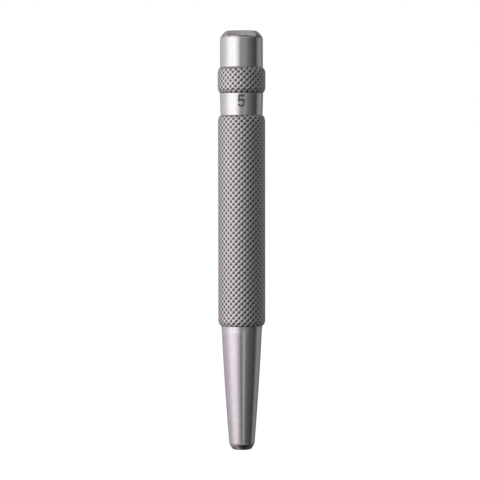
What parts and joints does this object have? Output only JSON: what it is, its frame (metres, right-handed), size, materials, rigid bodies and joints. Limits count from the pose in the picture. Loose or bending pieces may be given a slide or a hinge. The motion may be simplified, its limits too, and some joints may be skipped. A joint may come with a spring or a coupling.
{
  "type": "hollow punch",
  "caption": "Straight steel hollow punch: striking head with a rounded crown, diamond-knurled collar and grip, plain size ring, and a tapered tubular cutter with a bevelled edge that punches round holes.",
  "frame": {"origin": "centre of the cutting edge, on the tool's axis", "axes": "+Z along the tool's axis from the cutting edge to the struck face; +Y out through the slug window; +X completes the right-handed frame"},
  "size_m": [0.0138, 0.0138, 0.12],
  "materials": {
    "turned_steel": "satin, fine turning marks",
    "knurled_steel": "diamond knurled, bright ridges and dull pits",
    "hardened_steel": "hardened and ground, satin"
  },
  "bodies": {
    "root": {"striking_head": "turned_steel", "knurled_collar": "knurled_steel", "size_ring": "turned_steel", "knurled_grip": "knurled_steel", "cutter": "hardened_steel"}
  },
  "joints": []
}
